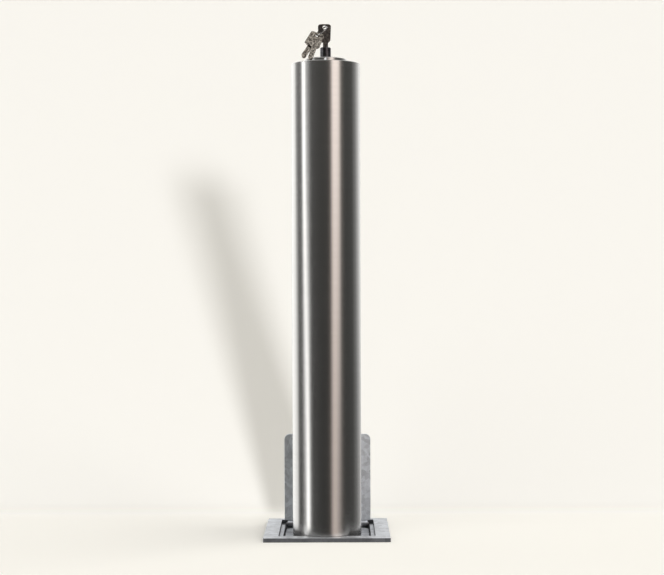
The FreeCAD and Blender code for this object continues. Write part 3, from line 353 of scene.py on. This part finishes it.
def make_split_ring():
    """A split ring of two flat coils with one joggle, on the plain ring's own circle."""
    chord = RING_BESIDE_BOW - RING_IN_HOLE
    along = chord.normalized()
    low = Vector((-along.z, 0.0, along.x))
    out = low * math.sin(RING_TILT) - Vector((0, 1, 0)) * math.cos(RING_TILT)
    middle = (RING_IN_HOLE + RING_BESIDE_BOW) / 2
    middle += out * math.sqrt(RING_RADIUS ** 2 - (chord.length / 2) ** 2)
    axis = along.cross(out)
    turns = 4 * math.pi - RING_SHORT
    stations = []
    for step in range(RING_STEPS + 1):
        angle = turns * step / RING_STEPS
        passed = (angle - turns / 2) / RING_JOGGLE
        eased = max(-1.0, min(1.0, passed))
        shift = RING_COIL_OFFSET * math.sin(eased * math.pi / 2)
        outward = along * math.cos(RING_START + angle) + out * math.sin(RING_START + angle)
        place = middle + outward * RING_RADIUS + axis * shift
        stations.append((place, outward, RING_WIRE_RADIAL, axis, RING_WIRE_AXIAL))
    ring = swept("split_ring", stations, RING_WIRE_SIDES, "ring", "ring_steel")
    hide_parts("key_ring")


SPRING_RADIUS = 0.0086
SPRING_WIRE = 0.0011
SPRING_WIRE_SIDES = 8
SPRING_TURNS = 8
CLOSED_PITCH = 0.00226
STEPS_PER_TURN = 32


def make_spring():
    """The return spring with a closed turn at each end. The rod's collar presses it down onto its seat."""
    low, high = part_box("return_spring")
    length = high[2] - low[2]
    open_rise = length - 2 * SPRING_WIRE - 2 * CLOSED_PITCH
    steps = SPRING_TURNS * STEPS_PER_TURN
    stations = []
    for step in range(steps + 1):
        turn = step / STEPS_PER_TURN
        closed = min(turn, 1.0) + max(0.0, turn - (SPRING_TURNS - 1))
        rise = closed * CLOSED_PITCH + (turn - closed) * open_rise / (SPRING_TURNS - 2)
        outward = Vector((math.cos(2 * math.pi * turn), math.sin(2 * math.pi * turn), 0.0))
        place = outward * SPRING_RADIUS + Vector((0.0, 0.0, low[2] + SPRING_WIRE + rise))
        stations.append((place, outward, SPRING_WIRE, Vector((0, 0, 1)), SPRING_WIRE))
    spring = swept("coil_spring", stations, SPRING_WIRE_SIDES, "post", "spring_steel")
    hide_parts("return_spring")
    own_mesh(spring)


WELD_RADIUS = 0.0013
WELD_SIDES = 10
WELD_RIPPLE = 0.0016
STEPS_PER_RIPPLE = 5
WELD_VALLEY = 0.86
WELD_CREST = 0.16
WELD_TIP = 0.35
WELD_TAPER = 12
WELD_INSET = 0.001
NEARLY_UPRIGHT = 0.9
ANCHOR_FOOT = 0.006
ANCHORS = 4


def make_weld(name, start, end, body, finish):
    """A rippled weld bead along a straight corner, thinner at both ends."""
    start = Vector(start)
    run = Vector(end) - start
    along = run.normalized()
    up = Vector((0, 0, 1)) if abs(along.z) < NEARLY_UPRIGHT else Vector((0, 1, 0))
    side = along.cross(up).normalized()
    up = side.cross(along)
    steps = int(run.length / WELD_RIPPLE * STEPS_PER_RIPPLE)
    stations = []
    for step in range(steps + 1):
        share = step / steps
        ripple = abs(math.sin(math.pi * run.length * share / WELD_RIPPLE))
        taper = min(1.0, WELD_TIP + WELD_TAPER * min(share, 1 - share))
        radius = WELD_RADIUS * (WELD_VALLEY + WELD_CREST * ripple) * taper
        stations.append((start + run * share, side, radius, up, radius))
    swept(name, stations, WELD_SIDES, body, finish)


def make_lid_weld():
    """The bead between the lid and its knuckle."""
    low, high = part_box("lid_knuckle")
    lid_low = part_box("lid_plate")[0]
    start = (low[0] + WELD_INSET, lid_low[1], lid_low[2])
    end = (high[0] - WELD_INSET, lid_low[1], lid_low[2])
    make_weld("lid_weld", start, end, "lid", "galvanised_lid")


def make_casing_welds():
    """Beads round the casing under the plate."""
    low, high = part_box("socket_casing")
    corners = [(low[0], low[1]), (high[0], low[1]), (high[0], high[1]), (low[0], high[1])]
    for number, corner in enumerate(corners):
        following = corners[(number + 1) % len(corners)]
        make_weld("casing_weld_%d" % (number + 1), (*corner, high[2]), (*following, high[2]),
                  "ground_socket", "galvanised_casing")


def make_anchor_welds():
    """Beads beside the leg of each ground anchor, where it lies against the casing."""
    casing_low, casing_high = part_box("socket_casing")
    for number in range(1, ANCHORS + 1):
        low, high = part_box("ground_anchor_%d" % number)
        wall = casing_high[0] if low[0] > 0 else casing_low[0]
        for letter, edge in (("a", low[1]), ("b", high[1])):
            make_weld("anchor_weld_%d%s" % (number, letter), (wall, edge, low[2] + ANCHOR_FOOT),
                      (wall, edge, high[2] - WELD_INSET), "ground_socket", "galvanised_casing")


make_split_ring()
make_spring()
make_lid_weld()
make_casing_welds()
make_anchor_welds()


# Floor and backdrop: one plain sheet that curves up into a leaning wall

FLOOR_CREAM = (0.947, 0.922, 0.855)
SHEET_HALF_WIDTH = 9.0
SHEET_FRONT = -9.0
SWEEP_START = 0.170
SWEEP_SLOPE = math.radians(28.5)
SWEEP_RADIUS = 0.12
SWEEP_STEPS = 24
SWEEP_RUN = 6.0
SWEEP_END = SWEEP_START + SWEEP_RADIUS * math.sin(SWEEP_SLOPE)
GROUND_HOLE_MIDDLE = (0.0, 0.0275)
GROUND_HOLE_HALF = (0.0905, 0.0880)
FLOOR_GLOW = 0.28
WALL_GLOW = 0.0


def make_sweep():
    """A flat floor, a curve and a sloping wall in one sheet that glossy surfaces don't mirror."""
    rows = [(SHEET_FRONT, 0.0), (SWEEP_START, 0.0)]
    for step in range(1, SWEEP_STEPS + 1):
        angle = SWEEP_SLOPE * step / SWEEP_STEPS
        rows.append((SWEEP_START + SWEEP_RADIUS * math.sin(angle), SWEEP_RADIUS * (1 - math.cos(angle))))
    end_y, end_z = rows[-1]
    rows.append((end_y + SWEEP_RUN * math.cos(SWEEP_SLOPE), end_z + SWEEP_RUN * math.sin(SWEEP_SLOPE)))
    points = [(side * SHEET_HALF_WIDTH, y, z) for y, z in rows for side in (-1, 1)]
    faces = [(2 * row, 2 * row + 1, 2 * row + 3, 2 * row + 2) for row in range(len(rows) - 1)]
    mesh = bpy.data.meshes.new("sweep")
    mesh.from_pydata(points, [], faces)
    for face in mesh.polygons:
        face.use_smooth = True
    sweep = bpy.data.objects.new("sweep", mesh)
    bpy.context.scene.collection.objects.link(sweep)
    sweep.visible_glossy = False
    return sweep


def inside_hole(tree, parts):
    """1 where the ground is open for the socket, 0 elsewhere."""
    within = [calculate(tree, "COMPARE", parts[axis], middle, half)
              for axis, middle, half in zip("XY", GROUND_HOLE_MIDDLE, GROUND_HOLE_HALF)]
    return calculate(tree, "MULTIPLY", *within)


def sweep_material():
    """Cream paper, open over the socket and clear from behind. The camera sees its floor glow a little."""
    material = bpy.data.materials.new("paper")
    material.use_nodes = True
    tree = material.node_tree
    tree.nodes.clear()
    parts = axes(tree, add(tree, "TexCoord").outputs["Object"])
    paper = add(tree, "BsdfDiffuse")
    put(tree, (*FLOOR_CREAM, 1), paper.inputs["Color"])
    glow = add(tree, "Emission")
    put(tree, (*FLOOR_CREAM, 1), glow.inputs["Color"])
    level = spread(tree, parts["Y"], FLOOR_GLOW, WALL_GLOW, SWEEP_START, SWEEP_END, "SMOOTHSTEP")
    seen = add(tree, "LightPath").outputs["Is Camera Ray"]
    put(tree, calculate(tree, "MULTIPLY", seen, level), glow.inputs["Strength"])
    together = add(tree, "AddShader")
    put(tree, paper.outputs[0], together.inputs[0])
    put(tree, glow.outputs[0], together.inputs[1])
    clear = add(tree, "BsdfTransparent")
    behind = add(tree, "NewGeometry").outputs["Backfacing"]
    opened = calculate(tree, "MAXIMUM", inside_hole(tree, parts), behind)
    output = add(tree, "OutputMaterial")
    sheet = mix_shaders(tree, opened, together.outputs[0], clear.outputs[0])
    put(tree, sheet, output.inputs["Surface"])
    return material


make_sweep().data.materials.append(sweep_material())


# World: cream behind the paper, even light for the surfaces, and a dim room with a
# white panel that leans on the left and a warm panel on the right for the metal to mirror

EVEN_COLOR = (1.0, 0.99, 0.97)
EVEN_STRENGTH = 0.30
CEILING = (0.75, 0.75, 0.75)
CEILING_START = 0.45
CEILING_FULL = 0.80
LOW_LEVEL = -0.14
HIGH_LEVEL = 0.10
PANEL_LOW = math.radians(-64.0)
PANEL_HIGH = math.radians(-81.0)
PANEL_EDGE = math.radians(9.5)
PANEL_CORE = math.radians(2.0)
PANEL_GLOW = 2.7
AROUND_HIGH = (
    (-180, (0.85, 0.85, 0.84)),
    (-168, (1.25, 1.25, 1.24)),
    (-150, (1.50, 1.50, 1.49)),
    (-129, (1.35, 1.35, 1.34)),
    (-117, (0.28, 0.28, 0.28)),
    (-104, (0.22, 0.22, 0.22)),
    (-93, (0.24, 0.24, 0.24)),
    (-80, (0.34, 0.34, 0.34)),
    (-65, (0.26, 0.26, 0.26)),
    (-48, (0.095, 0.093, 0.090)),
    (0, (0.072, 0.070, 0.066)),
    (15, (0.085, 0.077, 0.073)),
    (25, (1.80, 1.61, 1.52)),
    (42, (1.72, 1.54, 1.45)),
    (54, (0.16, 0.15, 0.14)),
    (70, (0.078, 0.078, 0.076)),
    (96, (0.095, 0.095, 0.092)),
    (114, (0.30, 0.30, 0.30)),
    (132, (0.75, 0.75, 0.75)),
    (152, (1.20, 1.20, 1.19)),
    (179, (0.85, 0.85, 0.84)),
)
AROUND_LOW = (
    (-180, (0.70, 0.70, 0.69)),
    (-168, (1.15, 1.15, 1.14)),
    (-145, (1.40, 1.40, 1.39)),
    (-116, (1.25, 1.25, 1.24)),
    (-106, (0.14, 0.14, 0.14)),
    (-98, (0.050, 0.050, 0.050)),
    (-84, (0.060, 0.060, 0.060)),
    (-74, (0.16, 0.16, 0.16)),
    (-56, (0.16, 0.16, 0.16)),
    (-44, (0.072, 0.072, 0.072)),
    (0, (0.040, 0.040, 0.039)),
    (11, (0.056, 0.050, 0.047)),
    (21, (0.58, 0.49, 0.45)),
    (31, (0.50, 0.42, 0.385)),
    (44, (0.12, 0.11, 0.105)),
    (68, (0.058, 0.058, 0.056)),
    (98, (0.075, 0.075, 0.074)),
    (118, (0.16, 0.16, 0.16)),
    (138, (0.36, 0.36, 0.36)),
    (158, (0.65, 0.65, 0.65)),
    (179, (0.75, 0.75, 0.74)),
)


def around_ramp(tree, turn, stops):
    """Colours round the horizon; each stop has an angle from the front, positive to the right."""
    return ramp(tree, turn, [((angle + 180) / 360, color) for angle, color in stops], "EASE")


def mirrored_room(tree):
    """What glossy rays see: the room's high and low halves, the leaning panel and a pale ceiling."""
    parts = axes(tree, add(tree, "TexCoord").outputs["Generated"])
    forward = calculate(tree, "MULTIPLY", parts["Y"], -1.0)
    around = calculate(tree, "ARCTAN2", parts["X"], forward)
    turn = spread(tree, around, 0.0, 1.0, -math.pi, math.pi)
    level = spread(tree, parts["Z"], 0.0, 1.0, LOW_LEVEL, HIGH_LEVEL)
    low = around_ramp(tree, turn, AROUND_LOW)
    high = around_ramp(tree, turn, AROUND_HIGH)
    room = blend_colors(tree, level, low, high)
    panel_middle = spread(tree, level, PANEL_LOW, PANEL_HIGH)
    distance = calculate(tree, "ABSOLUTE", calculate(tree, "SUBTRACT", around, panel_middle))
    panel = spread(tree, distance, PANEL_GLOW, 0.0, PANEL_CORE, PANEL_EDGE, "SMOOTHSTEP")
    lit = blend_colors(tree, 1.0, room, panel, "ADD")
    top = spread(tree, parts["Z"], 0.0, 1.0, CEILING_START, CEILING_FULL)
    return blend_colors(tree, top, lit, (*CEILING, 1))


def background(tree, color, strength=1.0):
    node = add(tree, "Background")
    put(tree, color, node.inputs["Color"])
    put(tree, strength, node.inputs["Strength"])
    return node.outputs[0]


def make_world():
    world = bpy.data.worlds.new("studio")
    bpy.context.scene.world = world
    world.use_nodes = True
    tree = world.node_tree
    tree.nodes.clear()
    paths = add(tree, "LightPath").outputs
    mirrored = background(tree, mirrored_room(tree))
    even = background(tree, (*EVEN_COLOR, 1), EVEN_STRENGTH)
    cream = background(tree, (*FLOOR_CREAM, 1))
    lighting = mix_shaders(tree, paths["Is Glossy Ray"], even, mirrored)
    output = add(tree, "OutputWorld")
    put(tree, mix_shaders(tree, paths["Is Camera Ray"], lighting, cream), output.inputs["Surface"])


make_world()


# Lamps: a low soft sun in front for the long shadow, and weak ones from both sides

def sun_lamp(name, direction, strength, softness, color):
    """A sun that shines along a direction; softness is its width in degrees."""
    data = bpy.data.lights.new(name, "SUN")
    data.energy = strength
    data.angle = math.radians(softness)
    data.color = color
    lamp = bpy.data.objects.new(name, data)
    bpy.context.scene.collection.objects.link(lamp)
    lamp.rotation_mode = "QUATERNION"
    lamp.rotation_quaternion = Vector(direction).to_track_quat("-Z", "Y")
    lamp.visible_glossy = False


sun_lamp("front_lamp", (-0.225, 1.0, -0.080), strength=2.05, softness=6.0, color=(0.98, 0.99, 1.04))
sun_lamp("left_lamp", (0.60, 0.65, -0.60), strength=0.40, softness=45.0, color=(1.0, 1.0, 1.0))
sun_lamp("right_lamp", (-0.70, 0.04, -0.60), strength=1.35, softness=60.0, color=(1.0, 0.99, 0.97))


# Camera

FOCAL_PIXELS = 1531.0
IMAGE_WIDTH = 664
SENSOR_WIDTH = 36.0
CAMERA_PLACE = Vector((0.0175, -2.270, 0.395))
CAMERA_YAW = math.radians(0.23)
CAMERA_PITCH = math.radians(-0.69)
CAMERA_ROLL = math.radians(-0.20)


def make_camera():
    data = bpy.data.cameras.new("camera")
    data.sensor_width = SENSOR_WIDTH
    data.lens = FOCAL_PIXELS / IMAGE_WIDTH * SENSOR_WIDTH
    camera = bpy.data.objects.new("camera", data)
    bpy.context.scene.collection.objects.link(camera)
    turn = Matrix.Rotation(CAMERA_YAW, 4, "Z") @ Matrix.Rotation(math.pi / 2 + CAMERA_PITCH, 4, "X")
    camera.matrix_world = Matrix.Translation(CAMERA_PLACE) @ turn @ Matrix.Rotation(CAMERA_ROLL, 4, "Z")
    bpy.context.scene.camera = camera


make_camera()
bpy.context.scene.view_settings.view_transform = "Standard"
